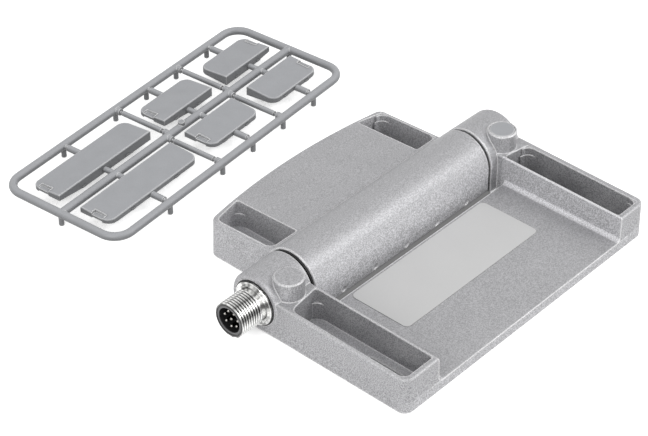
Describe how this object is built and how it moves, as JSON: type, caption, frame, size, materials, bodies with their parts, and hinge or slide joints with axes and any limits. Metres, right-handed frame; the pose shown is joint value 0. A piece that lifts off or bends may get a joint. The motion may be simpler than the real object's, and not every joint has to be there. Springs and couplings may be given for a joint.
{
  "type": "safety hinge switch",
  "caption": "Hinge-shaped safety switch: fixed leaf with knuckles and plug connector, folding leaf with barrel, cam-driven contacts inside, and a moulding frame of screw covers.",
  "frame": {"origin": "on the flat underside of the moving leaf, straight below the middle of the hinge line", "axes": "+X along the hinge line away from the connector, +Y out over the moving leaf, +Z away from the mounting surface"},
  "size_m": [0.1293, 0.1784, 0.0199],
  "materials": {
    "die_cast": "fine satin grain",
    "label_foil": "matte",
    "nickel_plate": "polished",
    "seal_rubber": "matte",
    "insert_plastic": "matte",
    "gold_pins": "polished",
    "bright_steel": "ground",
    "dark_steel": "black oxide",
    "cover_plastic": "matte",
    "carrier_plastic": "matte",
    "contact_metal": "satin",
    "lead_insulation": "satin",
    "spring_steel": "satin",
    "bush_plastic": "satin",
    "plunger_plastic": "satin"
  },
  "bodies": {
    "fixed_leaf": {"front_leaf": "die_cast", "name_plate": "label_foil", "connector_shell": "nickel_plate", "connector_seal": "seal_rubber", "connector_insert": "insert_plastic", "connector_pins": "gold_pins", "pivot_sleeve": "bright_steel", "pivot_pin": "bright_steel", "lock_screw": "dark_steel", "boss_plug": "cover_plastic", "contact_carrier": "carrier_plastic", "contact_strips": "contact_metal", "signal_leads": "lead_insulation", "plunger_spring": "spring_steel"},
    "moving_leaf": {"rear_leaf": "die_cast", "bush_left": "bush_plastic", "bush_right": "bush_plastic", "gap_seal_left": "seal_rubber", "gap_seal_right": "seal_rubber", "cam_ring": "carrier_plastic"},
    "contact_plunger": {"plunger": "plunger_plastic", "contact_bridge": "contact_metal"},
    "cover_moulding": {"cover_frame": "cover_plastic", "cover_pegs": "cover_plastic", "long_cover_far": "cover_plastic", "long_cover_near": "cover_plastic", "middle_cover_far": "cover_plastic", "middle_cover_near": "cover_plastic", "end_cover_far": "cover_plastic", "end_cover_near": "cover_plastic"}
  },
  "joints": [
    {"name": "hinge_turn", "type": "hinge", "parent": "fixed_leaf", "child": "moving_leaf", "pos_m": [0, 0, 0.0094], "axis": [1, 0, 0], "range_deg": [0, 176]},
    {"name": "plunger_slide", "type": "slide", "parent": "fixed_leaf", "child": "contact_plunger", "axis": [0, 0, -1], "range_m": [0, 0.0012], "deforming": ["plunger_spring"]},
    {"name": "cover_lift", "type": "slide", "parent": "fixed_leaf", "child": "cover_moulding", "axis": [0, 0, 1], "range_m": [0, 0.05]}
  ],
  "couplings": [
    {"joint": "plunger_slide", "follows": "hinge_turn", "m_per_rad": 0.0003906}
  ]
}
